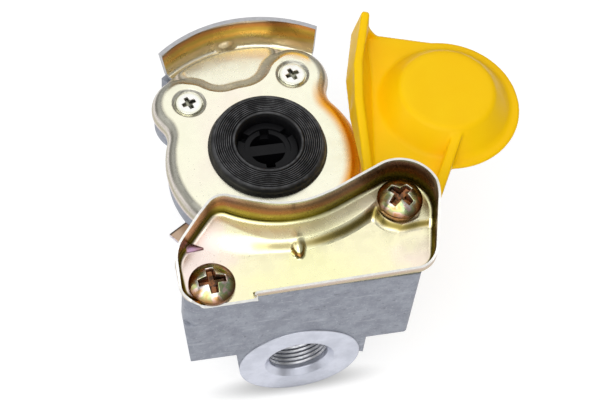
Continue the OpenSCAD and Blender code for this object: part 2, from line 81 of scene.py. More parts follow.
# Plan of the coupling in millimetres and degrees, as in the part's source
DISC_C, DISC_R = np.array([-1.3, -3.0]), 34.0
CRESCENT_R, LOBE_R, NECK_R, ROLL_R = 45.4, 12.9, 7.0, 4.6
LOBE_RING, LOBE_LEFT, LOBE_RIGHT = 32.3, 137.3, 64.1
WING_C, WING_R, WING_FROM, WING_TO = np.array([-0.8, 0.0]), 47.3, 58.5, 128.5
PIVOT = np.array([35.6, -38.2])
CLAW_SCREW = np.array([-29.0, -56.8])
CLAW_LEFT, LIP_R, RAISED_R, CUP_R, EAR_R = -39.6, 38.0, 46.8, 7.2, 12.7
PORT = np.array(next(m["pos_m"] for m in frame["record"]["mounts"] if m["name"] == "port")) / MM

# Sheets: thickness of the cover, the wing, the claw's floor, the claw's walls and the tab beside the claw
COVER_T, WING_T, CLAW_T, RIM_T, TAB_T = 1.4, 1.6, 1.8, 0.8, 1.3
# Cover: its hole for the seal, the crescent's depth and the small roll at the crescent's edge
SEAL_HOLE_R, CRESCENT_DROP, SMALL_ROLL = 20.3, 2.5, 2.0
# Cover: dip and hole round each screw, as inner radius, outer radius and depth
SCREW_DIP, SCREW_HOLE = (4.9, 6.1, 0.9), (3.4, 4.4, 2.4)
# Wing: start of its foot, its bend, and its left end, which stops short at the foot and leans out, in degrees
WING_FOOT_R, WING_BEND_R, WING_SHORT, WING_LEAN = 38.0, 1.4, 2.2, 3.6
# Wing: angle and radius of the ball that presses its bead, and how far the ball's centre lies behind the wall
WING_BEAD_AT, WING_BEAD_R, WING_BEAD_BACK = 97.0, 27 ** 0.5, 3.4
# Claw: lift of the raised floor, slant of the front edge, bend of the flange, drop of the wall on the left
CLAW_LIFT, CLAW_SLANT, CLAW_BEND_R, CLAW_LEFT_DROP = 3.0, 1.2, 1.8, 3.2
# Claw: radii at its front left, front right, lip's end and left side, and the angle of the lip's end
FRONT_LEFT_R, FRONT_RIGHT_R, TIP_R, SIDE_R, LIP_END = 7.0, 8.0, 6.0, 10.0, -121.5
# Claw: where the front flange starts, and between which two places the wall on the left runs out
FLANGE_FROM, WALL_OUT = -16.6, (-37.6, -31.0)
# Port: wall's radius, start of the thread behind the face, and the bore's turned metal as radius and depth
PORT_WALL_R, THREAD_FROM, TURNED_R, TURNED_DEEP = 10.25, 3.2, 12.3, 26.0


def polar(r, a):
    """Points at radius r and angle a in degrees."""
    a = np.radians(a)
    return np.stack(np.broadcast_arrays(r * np.cos(a), r * np.sin(a)), -1)


def arc(c, r, a, b, n=60):
    """Points of an arc about c from angle a to angle b."""
    return np.asarray(c) + polar(r, np.linspace(a, b, n))


def heading(p, q):
    """Angle of the way from p to q, in degrees."""
    return np.degrees(np.arctan2(q[1] - p[1], q[0] - p[0]))


def step(low, high, x):
    """0 below low, 1 above high, 3t^2 - 2t^3 between them."""
    t = np.clip((x - low) / (high - low), 0, 1)
    return t * t * (3 - 2 * t)


def even(points, n, closed=True):
    """n points at equal lengths along a line of points, by linear interpolation over its length."""
    p = np.vstack([points, points[:1]]) if closed else points
    length = np.concatenate([[0], np.cumsum(np.linalg.norm(np.diff(p, axis=0), axis=1))])
    keep = np.concatenate([[True], np.diff(length) > 1e-9])
    s = np.linspace(0, length[-1], n + 1)[:-1] if closed else np.linspace(0, length[-1], n)
    return np.stack([np.interp(s, length[keep], p[keep, k]) for k in (0, 1)], -1)


def inward(points):
    """Unit normals on the left of a closed line of points: its central difference turned a quarter turn."""
    d = np.roll(points, -1, 0) - np.roll(points, 1, 0)
    d /= np.linalg.norm(d, axis=1, keepdims=True)
    return np.stack([-d[:, 1], d[:, 0]], -1)


def lifted(xy, z):
    """Points in space from points in plan and their heights."""
    return np.concatenate([xy, z[..., None]], -1)


def quads(rows, cols, wrap=False, start=0):
    """Corner numbers of the faces of a grid of rows x cols points, the columns closed into a ring if wrap."""
    i = np.arange(rows - 1)[:, None]
    j = np.arange(cols if wrap else cols - 1)[None, :]
    k = (j + 1) % cols
    row, below = i * cols, (i + 1) * cols
    faces = np.stack(np.broadcast_arrays(row + j, row + k, below + k, below + j), -1)
    return faces.reshape(-1, 4) + start


def piece(name, points, faces, body, slot, node=None, **values):
    """Makes a mesh piece from points in millimetres, with one float attribute for each named value.

    body is None for a piece that is attached to no body.
    """
    mesh = bpy.data.meshes.new(name)
    points = np.asarray(points, float).reshape(-1, 3)
    mesh.from_pydata((points * MM).tolist(), [], faces.tolist())
    for key, value in values.items():
        layer = mesh.attributes.new(key, "FLOAT", "POINT")
        layer.data.foreach_set("value", np.asarray(value, np.float32).ravel())
    mesh.shade_smooth()
    mesh.update()
    obj = bpy.data.objects.new(name, mesh)
    bpy.context.collection.objects.link(obj)
    if body:
        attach(obj, body)
    if node:
        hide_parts(node)
    return obj


def dress(obj, *materials):
    """Puts the materials into the object's slots in order."""
    obj.data.materials.clear()
    for material in materials:
        obj.data.materials.append(material)


def thicken(obj, thickness, edge=0.0, back=0, thin=None, least=1.0):
    """Gives a surface its sheet thickness behind its outward side, with the cut edge as second material.

    back is the material of the far side. thin gives each point's share of thinning, 0 for the whole thickness
    and 1 for least times it, in eighths.
    """
    mod = obj.modifiers.new("sheet", "SOLIDIFY")
    mod.thickness = thickness * MM
    mod.offset = -1
    mod.use_even_offset = True
    mod.thickness_clamp = 0.0
    mod.material_offset = back
    mod.material_offset_rim = 1
    if thin is not None:
        full = obj.vertex_groups.new(name="full")
        for level in range(9):
            full.add(np.flatnonzero(np.round(8 * (1 - thin)) == level).tolist(), level / 8, "REPLACE")
        mod.vertex_group = full.name
        mod.thickness_vertex_group = least
    if edge:
        bevel = obj.modifiers.new("edge", "BEVEL")
        bevel.width = edge * MM
        bevel.segments = 2
        bevel.limit_method = "ANGLE"
        bevel.harden_normals = True
        bevel.angle_limit = np.radians(55)
    return obj


class Nodes:
    """Small helper to write a material's nodes in the order in which they are read."""

    def __init__(self, name):
        self.material = bpy.data.materials.new(name)
        self.material.use_nodes = True
        self.tree = self.material.node_tree
        self.tree.nodes.clear()
        self.out = self.tree.nodes.new("ShaderNodeOutputMaterial")
        self.shader = self.add("ShaderNodeBsdfPrincipled")
        self.link(self.shader.outputs[0], self.out.inputs[0])
        self.place = self.add("ShaderNodeTexCoord").outputs["Object"]

    def add(self, kind, **settings):
        node = self.tree.nodes.new(kind)
        for key, value in settings.items():
            setattr(node, key, value)
        return node

    def link(self, a, b):
        self.tree.links.new(a, b)

    def feed(self, socket, value):
        if hasattr(value, "links"):
            self.link(value, socket)
        else:
            socket.default_value = value

    def set(self, **values):
        """Sets the shader's sockets, by name with _ for a space."""
        for key, value in values.items():
            self.feed(self.shader.inputs[key.replace("_", " ")], value)

    def math(self, operation, a, b=0.0, c=0.0):
        node = self.add("ShaderNodeMath", operation=operation)
        for socket, value in zip(node.inputs, (a, b, c)):
            self.feed(socket, value)
        return node.outputs[0]

    def noise(self, scale, detail=3.0, rough=0.5, stretch=None, offset=(0, 0, 0)):
        """Noise of that many features a metre, read at Object coordinates."""
        place = self.place
        if stretch is not None or any(offset):
            mapping = self.add("ShaderNodeMapping")
            self.link(place, mapping.inputs["Vector"])
            mapping.inputs["Scale"].default_value = stretch or (1, 1, 1)
            mapping.inputs["Location"].default_value = offset
            place = mapping.outputs[0]
        node = self.add("ShaderNodeTexNoise")
        self.link(place, node.inputs["Vector"])
        node.inputs["Scale"].default_value = scale
        node.inputs["Detail"].default_value = detail
        node.inputs["Roughness"].default_value = rough
        return node.outputs["Fac"]

    def ramp(self, factor, stops):
        """Colour band: stops of (position, colour)."""
        node = self.add("ShaderNodeValToRGB")
        band = node.color_ramp
        band.interpolation = "EASE"
        while len(band.elements) < len(stops):
            band.elements.new(0.5)
        for element, (position, colour) in zip(band.elements, stops):
            element.position = position
            element.color = (*colour, 1)
        self.link(factor, node.inputs[0])
        return node.outputs[0]

    def grey(self, factor, low, high, a=0.0, b=1.0):
        """Maps low..high smoothly to a..b."""
        node = self.add("ShaderNodeMapRange", interpolation_type="SMOOTHSTEP")
        for socket, value in zip(node.inputs, (factor, low, high, a, b)):
            self.feed(socket, value)
        return node.outputs[0]

    def mix(self, factor, a, b):
        """Colour between a and b, each a tuple or a socket."""
        node = self.add("ShaderNodeMix", data_type="RGBA")
        self.feed(node.inputs[0], factor)
        for socket, value in zip(node.inputs[6:8], (a, b)):
            self.feed(socket, (*value, 1) if isinstance(value, tuple) else value)
        return node.outputs[2]

    def value(self, name):
        """The piece's attribute of that name."""
        return self.add("ShaderNodeAttribute", attribute_name=name).outputs["Fac"]

    def xyz(self):
        node = self.add("ShaderNodeSeparateXYZ")
        self.link(self.place, node.inputs[0])
        return node.outputs

    def bump(self, height, distance, strength=1.0, normal=None):
        node = self.add("ShaderNodeBump")
        node.inputs["Strength"].default_value = strength
        node.inputs["Distance"].default_value = distance * MM
        self.link(height, node.inputs["Height"])
        if normal is not None:
            self.link(normal, node.inputs["Normal"])
        return node.outputs[0]

    def rounded(self, radius):
        """Normal rounded over the edges within that radius."""
        node = self.add("ShaderNodeBevel", samples=6)
        node.inputs["Radius"].default_value = radius * MM
        return node.outputs[0]

    def length(self, a, b):
        """Length of the vector whose parts are a and b."""
        return self.math("SQRT", self.math("ADD", self.math("POWER", a, 2.0), self.math("POWER", b, 2.0)))


def chromate(name, tints, bands, pressed_shade=None, warm_reflection=None, rough=0.26, flecks=0.5, bent=0.6, sway=0.16):
    """Yellow chromated zinc: pale metal whose tint drifts, with bands of painted shade and painted
    reflections by how far the sheet is bent.

    tints colour the flats by the attribute tint, and bands paint shade and reflections over the bends by the
    attribute bend. The step colours paint shade over the pressed steps and round the bead by their own
    attribute. The warm colour is a painted orange reflection, shown where its own attribute says so. bent is
    how metallic the bends are, sway how far the bands wander, and the attribute dull takes metal from the
    sheet.
    """
    n = Nodes(name)
    drift = n.math("ADD", n.value("tint"), n.math("MULTIPLY_ADD", n.noise(55, 3.0, 0.5), 0.7, -0.35))
    flat = n.ramp(drift, tints)
    wander = n.math("MULTIPLY_ADD", n.noise(42, 2.0), sway, -0.5 * sway)
    # Bands over the bends: painted shade and painted reflections, by how far the sheet is bent
    curved = n.grey(n.value("bend"), 0.02, 0.14)
    colour = n.mix(curved, flat, n.ramp(n.math("ADD", n.value("bend"), wander), bands))
    if pressed_shade:
        # Painted shade over the pressed steps and round the bead
        shown = n.grey(n.value("pressed_shade"), 0.08, 0.6)
        colour = n.mix(shown, colour, n.ramp(n.math("ADD", n.value("pressed_shade"), wander), pressed_shade))
    # Painted orange reflection where its attribute says so
    if warm_reflection:
        colour = n.mix(n.value("warm_reflection"), colour, warm_reflection)
    fleck = n.grey(n.noise(900, 2.0, 0.7), 0.66, 0.74)
    patch = n.grey(n.noise(70, 2.0, offset=(3, 1, 2)), 0.45, 0.65)
    colour = n.mix(n.math("MULTIPLY", n.math("MULTIPLY", fleck, patch), flecks), colour, (0.20, 0.19, 0.15))
    metal = n.grey(n.value("bend"), 0.08, 0.35, 1.0, bent)
    n.set(Base_Color=colour, Metallic=n.math("MULTIPLY_ADD", n.value("dull"), -0.4, metal),
          Roughness=n.grey(n.noise(220, 3.0, 0.6), 0.3, 0.7, rough - 0.05, rough + 0.07),
          Normal=n.bump(n.noise(1600, 2.0, 0.6), 0.007, 0.5))
    return n.material


def cut_edge(name="sheared_edge", tone=(0.86, 0.85, 0.81)):
    """Cut edge of the zinc-plated sheet, with faint shear marks."""
    n = Nodes(name)
    marks = n.noise(700, 2.0, 0.5, stretch=(1, 1, 0.2))
    n.set(Base_Color=n.mix(n.grey(marks, 0.35, 0.65), tuple(0.9 * c for c in tone), tone),
          Metallic=0.6, Roughness=0.4)
    return n.material


def rubber():
    """Moulded black rubber, with a painted highlight on the crests, broken up in patches."""
    n = Nodes("seal_rubber")
    # Painted highlight on the crests
    crest_highlight = n.math("MULTIPLY", n.value("crest"), n.grey(n.noise(300, 3.0, 0.65), 0.35, 0.7, 0.25, 1.0))
    n.set(Base_Color=n.mix(crest_highlight, (0.005, 0.005, 0.006), (0.17, 0.172, 0.18)), IOR=1.5,
          Specular_IOR_Level=0.35, Roughness=n.grey(n.noise(420, 3.0), 0.3, 0.7, 0.36, 0.55),
          Normal=n.bump(n.noise(1400, 3.0, 0.6), 0.03, 0.5))
    return n.material


def plastic(name, colour, shade, rough=0.4, gloss=0.5):
    """Moulded plastic: slow drift of shade and fine texture."""
    n = Nodes(name)
    drift = n.grey(n.noise(45, 3.0), 0.3, 0.7)
    n.set(Base_Color=n.mix(drift, colour, shade), IOR=1.5, Specular_IOR_Level=gloss,
          Roughness=n.grey(n.noise(160, 3.0), 0.3, 0.7, rough - 0.06, rough + 0.08),
          Normal=n.bump(n.noise(900, 2.0, 0.6), 0.015, 0.4))
    return n.material


def cast(colours):
    """Die-cast aluminium: cloudy matt grey with specks, and turned metal on the port's face and bore."""
    n = Nodes("cast_aluminium")
    x, y, z = n.xyz()
    cloud = n.noise(130, 6.0, 0.68)
    grain = n.noise(1100, 3.0, 0.7)
    colour = n.ramp(n.grey(cloud, 0.28, 0.72), [(0.0, colours[0]), (1.0, colours[1])])
    colour = n.mix(n.math("MULTIPLY", n.grey(grain, 0.56, 0.70), 0.5), colour, (0.52, 0.54, 0.60))
    colour = n.mix(n.math("MULTIPLY", n.grey(n.noise(700, 2.0, offset=(5, 2, 0)), 0.64, 0.72), 0.5),
                   colour, (0.14, 0.145, 0.165))
    across, down = n.math("SUBTRACT", x, PORT[0] * MM), n.math("SUBTRACT", z, PORT[2] * MM)
    face = n.math("LESS_THAN", y, (PORT_FACE + 0.25) * MM)
    bore = n.math("MULTIPLY", n.math("LESS_THAN", n.length(across, down), TURNED_R * MM),
                  n.math("LESS_THAN", y, (PORT_FACE + TURNED_DEEP) * MM))
    machined = n.math("MAXIMUM", face, bore)
    rings = n.noise(2600, 1.0, 0.5)
    scratch = n.grey(n.noise(420, 2.0, 0.5, stretch=(0.16, 1, 1.4)), 0.63, 0.69)
    colour = n.mix(n.math("MULTIPLY", scratch, 0.28), colour, (0.56, 0.58, 0.64))
    bright = n.ramp(n.noise(140, 4.0, 0.6), [(0.3, (0.56, 0.58, 0.66)), (0.7, (0.70, 0.72, 0.81))])
    colour = n.mix(machined, colour, bright)
    bumps = n.math("ADD", n.math("MULTIPLY", n.noise(420, 4.0, 0.65), 0.7), n.math("MULTIPLY", grain, 0.3))
    height = n.mix(machined, bumps, rings)
    n.set(Base_Color=colour, Metallic=n.math("MULTIPLY_ADD", machined, 0.25, 0.6),
          Roughness=n.math("MULTIPLY_ADD", machined, -0.16, 0.50),
          Normal=n.bump(height, 0.10, 0.55, n.rounded(0.6)))
    return n.material


def screw_metal(name, stops, shade, recess_shade, rough=0.24):
    """Plated screw metal: drifting tints, painted shade toward the rim, paler petals round the recess,
    and painted shade in patches down in the recess.
    """
    n = Nodes(name)
    tint = n.ramp(n.grey(n.noise(210, 2.0, 0.5), 0.3, 0.7), stops)
    # Painted shade toward the head's rim
    tint = n.mix(n.grey(n.value("rim"), 0.70, 0.97, 0.0, 0.9), tint, shade)
    # Painted shade down in the recess, in patches
    patches = n.grey(n.noise(460, 2.0, offset=(2, 0, 3)), 0.40, 0.60)
    recess_shade = n.mix(patches, tuple(0.25 * c for c in recess_shade), tuple(1.5 * c for c in recess_shade))
    # Paler petals round the recess's arms
    paler_petals = n.math("MULTIPLY", n.value("petal"), n.grey(n.noise(500, 2.0, offset=(1, 4, 2)), 0.35, 0.6))
    tint = n.mix(n.math("MULTIPLY", paler_petals, 0.7), tint, (0.94, 0.90, 0.86))
    n.set(Base_Color=n.mix(n.grey(n.value("deep"), 0.05, 0.7, 0.0, 0.96), tint, recess_shade),
          Metallic=n.grey(n.value("deep"), 0.05, 0.7, 1.0, 0.9),
          Roughness=n.grey(n.noise(500, 2.0), 0.3, 0.7, rough - 0.06, rough + 0.08),
          Normal=n.bump(n.noise(900, 3.0, 0.6), 0.008, 0.4))
    return n.material


def steel(name, colour, rough=0.3):
    """Plain zinc-plated steel with fine streaks."""
    n = Nodes(name)
    streak = n.noise(300, 3.0, 0.6, stretch=(1, 1, 4))
    n.set(Base_Color=n.mix(n.grey(streak, 0.3, 0.7), colour, tuple(c * 0.7 for c in colour)), Metallic=1.0,
          Roughness=n.grey(streak, 0.3, 0.7, rough - 0.05, rough + 0.1), Normal=n.bump(streak, 0.02, 0.4))
    return n.material


def cover_line():
    """The cover's main field as a closed line, counterclockwise: round middle, two lobes, four hollow necks.

    A neck is an arc of NECK_R whose centre lies at the sum of the radii from both circles that it joins.
    """
    right, left = polar(LOBE_RING, LOBE_RIGHT), polar(LOBE_RING, LOBE_LEFT)

    def neck(lobe, side):
        d = np.linalg.norm(lobe - DISC_C)
        u = (lobe - DISC_C) / d
        a, b = DISC_R + NECK_R, LOBE_R + NECK_R
        x = (a * a - b * b + d * d) / (2 * d)
        return DISC_C + u * x + side * np.array([-u[1], u[0]]) * np.sqrt(a * a - x * x)

    def run(c, r, p, q, turn):
        a, b = heading(c, p), heading(c, q)
        return arc(c, r, a, a + turn * ((turn * (b - a)) % 360), 160)

    n = [neck(right, -1), neck(right, 1), neck(left, -1), neck(left, 1)]
    return np.vstack([
        run(DISC_C, DISC_R, n[3], n[0], 1), run(n[0], NECK_R, DISC_C, right, -1),
        run(right, LOBE_R, n[0], n[1], 1), run(n[1], NECK_R, right, DISC_C, -1),
        run(DISC_C, DISC_R, n[1], n[2], 1), run(n[2], NECK_R, DISC_C, left, -1),
        run(left, LOBE_R, n[2], n[3], 1), run(n[3], NECK_R, left, DISC_C, -1)])


def cover_surface():
    """Points, faces and attributes of the pressed cover.

    A profile is carried along the main field's edge: flat from the seal's hole, a quarter round of ROLL_R at
    the edge, and the skirt. Along the crescent the quarter round turns into an S of the crescent's depth, and
    the profile runs on over the crescent to its own small roll. Both ends of the change are mixed by the
    crescent's width at that place. Round each screw the surface dips by smooth steps of the distance. lead is
    the way past the start of the roll.
    """
    cols, flat_rows, roll_rows, field_rows, end_rows = 600, 40, 20, 16, 9
    s_from, s_to, s_ease = 5.2, 0.3, 0.35
    edge = even(cover_line(), cols)
    normal = inward(edge)
    angle = np.degrees(np.arctan2(edge[:, 1], edge[:, 0])) % 360
    reach = np.linalg.norm(edge, axis=1)
    between = (angle > LOBE_RIGHT) & (angle < LOBE_LEFT)
    width = np.where(between, CRESCENT_R - reach, 0.0)
    inner = step(0.4, 5.0, width)

    u = np.linspace(0, 1, roll_rows)[:, None]
    round_in, round_down = ROLL_R * (1 - np.sin(u * np.pi / 2)), ROLL_R * (1 - np.cos(u * np.pi / 2))
    s_in = s_from * (1 - u) + s_to * u
    s_down = CRESCENT_DROP * (s_ease * step(0, 1, u) + (1 - s_ease) * u)
    roll_in = round_in * (1 - inner) + s_in * inner
    roll_down = round_down * (1 - inner) + s_down * inner
    roll_xy = edge + normal * roll_in[..., None]

    hole = polar(SEAL_HOLE_R, heading([0, 0], roll_xy[0].T))
    t = np.linspace(0, 1, flat_rows)[:, None, None]
    flat_xy = hole + (roll_xy[0] - hole) * t
    flat_down = np.zeros(flat_xy.shape[:2])

    out = polar(CRESCENT_R, angle)
    v = np.linspace(0, 1, field_rows)[1:, None]
    last_xy, last_down = roll_xy[-1], roll_down[-1]
    inset = np.minimum(SMALL_ROLL, 0.8 * width)
    rim = out - polar(inset, angle)
    field_xy = last_xy + (rim - last_xy) * (v * (width > 0.01))[..., None]
    field_down = last_down + v * 0.15 * (1 - inner)
    w = np.linspace(0, 1, end_rows)[1:, None]
    bow = inset * np.sin(w * np.pi / 2)
    end_xy = field_xy[-1] + polar(bow, np.broadcast_to(angle, bow.shape))
    end_down = field_down[-1] + (1 - np.cos(w * np.pi / 2)) * (COVER_TOP - DECK - field_down[-1])

    xy = np.concatenate([flat_xy, roll_xy[1:], field_xy, end_xy])
    down = np.concatenate([flat_down, roll_down[1:], field_down, end_down])
    d = np.minimum(*(np.linalg.norm(xy - polar(LOBE_RING, a), axis=-1) for a in (LOBE_LEFT, LOBE_RIGHT)))
    dip, pit = (1 - step(near, far, d) for near, far, _ in (SCREW_DIP, SCREW_HOLE))
    z = COVER_TOP - down - SCREW_DIP[2] * dip - SCREW_HOLE[2] * pit
    # bend picks the bands of painted shade and reflections across the roll, the S and the crescent's small
    # roll
    bend = np.concatenate([np.zeros(flat_down.shape),
                           u[1:] * (1 - inner) + inner * np.sin(u[1:] * np.pi) ** 0.5 * 0.28,
                           np.repeat((1 - inner)[None], len(v), 0),
                           inner * w * 0.7 + (1 - inner)])
    # Round each screw's dip the bands paint a ring of shade
    bend = np.maximum(bend, 0.55 * np.sin(np.pi * np.clip(dip, 0, 1)))
    tint = 0.5 + 0.28 * np.cos(xy[..., 0] / 13 + 0.6) * np.cos(xy[..., 1] / 17 - 0.4)
    roll_length = 7.0
    lead = np.concatenate([(t[..., 0] - 1) * np.linalg.norm(roll_xy[0] - hole, axis=-1),
                           roll_length * u[1:] * np.ones(cols),
                           np.full((len(v) + len(w), cols), roll_length)])
    # Painted orange reflection over the roll on the right
    warm_reflection = step(10, 24, xy[..., 0]) * (1 - step(14, 28, xy[..., 1])) * step(-3.2, 0.6, lead)
    warm_reflection = warm_reflection * (1 - 0.6 * step(5.4, 7.0, lead))
    dull = step(2.5, 7.0, lead) * inner
    points = lifted(xy, z)
    return points, quads(len(points), cols, True)[:, ::-1], dict(bend=bend, tint=tint, warm_reflection=warm_reflection, dull=dull)


def wing_surface():
    """Points and faces of the guide wing's inner side, with its bend and tint.

    An L profile, foot, bend and wall, is turned about WING_C, further the higher it is. A ball that stands
    out of the wall presses the bead into its foot.
    """
    cols, foot_rows, wall_rows = 220, 14, 40
    a = np.linspace(0, np.pi / 2, 9)
    turn_r = WING_R - WING_BEND_R
    wall_z = np.linspace(DECK + WING_BEND_R, WING_TOP, wall_rows + 1)[1:]
    profile = np.concatenate([
        np.stack([np.linspace(WING_FOOT_R, turn_r, foot_rows), np.full(foot_rows, DECK)], -1),
        np.stack([turn_r + WING_BEND_R * np.sin(a), DECK + WING_BEND_R * (1 - np.cos(a))], -1)[1:],
        np.stack([np.full(wall_rows, WING_R), wall_z], -1)])
    r, z = np.repeat(profile[:, :1], cols, 1), np.repeat(profile[:, 1:], cols, 1)
    height = (z - DECK) / (WING_TOP - DECK)
    left_end = WING_TO - WING_SHORT + WING_LEAN * height
    angles = WING_FROM + (left_end - WING_FROM) * np.linspace(0, 1, cols)
    along = np.radians(angles - WING_BEAD_AT) * WING_R
    ball = np.sqrt(np.clip(WING_BEAD_R ** 2 - along ** 2 - (z - DECK) ** 2, 0, None)) - WING_BEAD_BACK
    r = np.where(z > DECK + 0.3, r - np.clip(ball, 0, None), r)
    xy = WING_C + polar(r, angles)
    tint = step(WING_FROM, WING_TO, angles)
    points = lifted(xy, z)
    # The height up the wall goes in as bend, which picks the bands of painted shade and reflections
    return points, quads(len(profile), cols)[:, ::-1], dict(bend=height, tint=tint)


def claw_line(i):
    """The claw's outline inset by i, counterclockwise: four corners, the ear at the pivot and the lip's arc.

    Straight edges are the tangents of neighbouring arcs, apart from the slanted front one.
    """
    def tangent(p, a, q, b):
        return heading(p, q) - np.degrees(np.arccos((a - b) / np.linalg.norm(np.subtract(q, p))))

    left = np.array([CLAW_LEFT + FRONT_LEFT_R, CLAW_BOTTOM + FRONT_LEFT_R - CLAW_SLANT])
    right = np.array([36.8, CLAW_BOTTOM + FRONT_RIGHT_R])
    ear = PIVOT + [-0.4, -1.8]
    tip, side = polar(LIP_R + TIP_R, LIP_END), np.array([CLAW_LEFT + SIDE_R, -50.0])
    a = tangent(right, FRONT_RIGHT_R, ear, EAR_R)
    b = heading([0, 0], ear) - np.degrees(np.arccos((LIP_R + EAR_R) / np.linalg.norm(ear)))
    c = tangent(tip, TIP_R, side, SIDE_R)
    return np.vstack([
        arc(left, FRONT_LEFT_R - i, 180, 270), arc(right, FRONT_RIGHT_R - i, -90, a),
        arc(ear, EAR_R - i, a, b + 180, 200), arc([0, 0], LIP_R + i, b, LIP_END, 300),
        arc(tip, TIP_R - i, LIP_END + 180, c + 360), arc(side, SIDE_R - i, c + 360, 180)])


def claw_floor(x, y):
    """Height of the claw's floor, and how much painted shade falls on its step's slope and round the foot of
    its bead.

    The step is a smooth step of the distance into the raised plan, the soft union of a circle about the
    seal's axis, a circle about the pivot and a corner to its right. It widens into a slope on the left, and
    half of it is a slope round the pivot. The bead is close to a half ellipsoid. Both heights are joined by a
    soft maximum.
    """
    union, joint = 1.2, 1.8
    bead_at, bead_half, bead_height = (0.5, -46.2), (2.5, 5.6), 3.0
    p = np.stack([x, y], -1)
    d = np.stack([RAISED_R - np.linalg.norm(p, axis=-1), CUP_R - np.linalg.norm(p - PIVOT, axis=-1),
                  np.minimum(x - PIVOT[0], y - PIVOT[1] + CUP_R)])
    d = np.log(np.exp(np.clip(d, -30, 30) * union).sum(0)) / union
    soft = step(6.0, 30.0, -x)
    cup = step(26.0, 34.0, x)
    t = step(-2.2 - 9 * soft, 1.6 + 5 * soft, d)
    rise = CLAW_LIFT * (t * (1 - 0.5 * cup) + 0.5 * cup * step(-13.0, -1.0, d))
    bead = np.clip(1 - ((x - bead_at[0]) / bead_half[0]) ** 2 - ((y - bead_at[1]) / bead_half[1]) ** 2, 0, 1)
    ridge = bead_height * bead ** 0.7
    lift = np.log(np.exp(rise * joint) + np.exp(ridge * joint) - 1) / joint
    # Painted shade: a ring round the bead's foot, and the step's slope, darkest at its middle
    ring = step(0.02, 0.2, bead) * (1 - step(0.3, 0.6, bead)) * step(0.2, 0.8, ridge - rise)
    steep = 2.8 * t * (1 - t) * (1 - step(0.1, 0.7, soft)) * (0.6 + 0.4 * step(0, 12, x))
    pressed_shade = np.maximum(steep, ring)
    return CLAW_UNDER + CLAW_T + lift, pressed_shade


def claw_surface():
    """Points, faces and attributes of the claw's upper side.

    Flange: a profile carried round the inset outline, an upright wall over a bend. The wall's height is cut
    by a slope in y and a step down on the left, and where the flange is left out the profile lies flat, mixed
    by the share of flange there. Floor: straight lines from the lower to the upper half of the outline,
    lifted by claw_floor.
    """
    cols, wall_rows, floor_rows, floor_cols = 700, 18, 110, 220
    bend_r = CLAW_BEND_R
    line = even(claw_line(RIM_T), cols)
    start = int(np.argmin(line[:, 0] + 1e-3 * line[:, 1]))
    line = np.roll(line, -start, 0)
    normal = inward(line)
    half = int(np.argmax(line[:, 0] + 0.02 * line[:, 1]))
    x, y = line[:, 0], line[:, 1]
    low_edge = y < CLAW_BOTTOM + 9
    share = np.where(low_edge & (x < FLANGE_FROM), 1 - step(*WALL_OUT, x), 1.0)
    share = np.where(low_edge & (x >= FLANGE_FROM), step(FLANGE_FROM, FLANGE_FROM + 0.4, x), share)

    foot_xy = line + normal * bend_r
    foot_z, _ = claw_floor(foot_xy[:, 0], foot_xy[:, 1])
    slope_y = PIVOT[1] + 1
    fall = (LIP_TOP - CLAW_UNDER - 1.4) / (slope_y - CLAW_BOTTOM + 8)
    top = LIP_TOP - np.clip(slope_y - y, 0, None) * fall - CLAW_LEFT_DROP * step(14, 31, -x)
    top = np.maximum(top, foot_z + bend_r + 0.4)
    a = np.linspace(0, np.pi / 2, 9)[:, None]
    w = np.linspace(0, 1, wall_rows)[1:, None]
    wall_z = foot_z + bend_r + (top - foot_z - bend_r) * w
    q = np.concatenate([np.repeat(bend_r * (1 - np.sin(a)), cols, 1), np.zeros(wall_z.shape)])
    z = np.concatenate([foot_z + bend_r * (1 - np.cos(a)), wall_z])
    flat_q = np.linspace(bend_r, -RIM_T, len(q))[:, None]
    q = q * share + flat_q * (1 - share)
    z = z * share + foot_z * (1 - share)
    flange = lifted(line + normal * q[..., None], z)
    rows = len(flange)
    wall = np.clip(top - foot_z - bend_r, 0.3, None)
    round_length = bend_r * np.pi / 2
    # The share of the way up the flange goes in as bend, which picks the bands of painted shade and
    # reflections
    height = np.concatenate([bend_r * a * np.ones(cols), round_length + wall * w]) / (round_length + wall)
    height = np.clip(height, 0.04, 1) * share

    lower = foot_xy[:half + 1]
    upper = np.vstack([foot_xy[half:], foot_xy[:1]])[::-1]
    lower, upper = even(lower, floor_cols, False), even(upper, floor_cols, False)
    v = np.linspace(0, 1, floor_rows)[:, None, None]
    floor_xy = lower + (upper - lower) * v
    floor_z, pressed_shade = claw_floor(floor_xy[..., 0], floor_xy[..., 1])
    floor = lifted(floor_xy, floor_z)
    points = np.vstack([flange.reshape(-1, 3), floor.reshape(-1, 3)])
    faces = np.vstack([quads(rows, cols, True)[:, ::-1], quads(floor_rows, floor_cols, False, rows * cols)])
    bend = np.concatenate([height.ravel(), np.zeros(pressed_shade.size)])
    pressed_shade = np.concatenate([np.zeros(height.size), pressed_shade.ravel()])
    px, py = points[:, 0], points[:, 1]
    left, right = step(14, 36, -px), step(16, 40, px) * step(46, 58, -py)
    tint = 0.42 + 0.5 * left + 0.25 * right - 0.12 * np.cos(px / 9)
    dull = np.where(bend > 0, 0.0, 1 - step(42, 49, np.hypot(px, py)))
    # Painted orange reflection up the wall on the left
    warm_reflection = 0.7 * step(20, 33, -px) * step(0.25, 0.5, bend)
    return points, faces, dict(bend=bend, pressed_shade=pressed_shade, tint=tint, dull=dull, warm_reflection=warm_reflection)


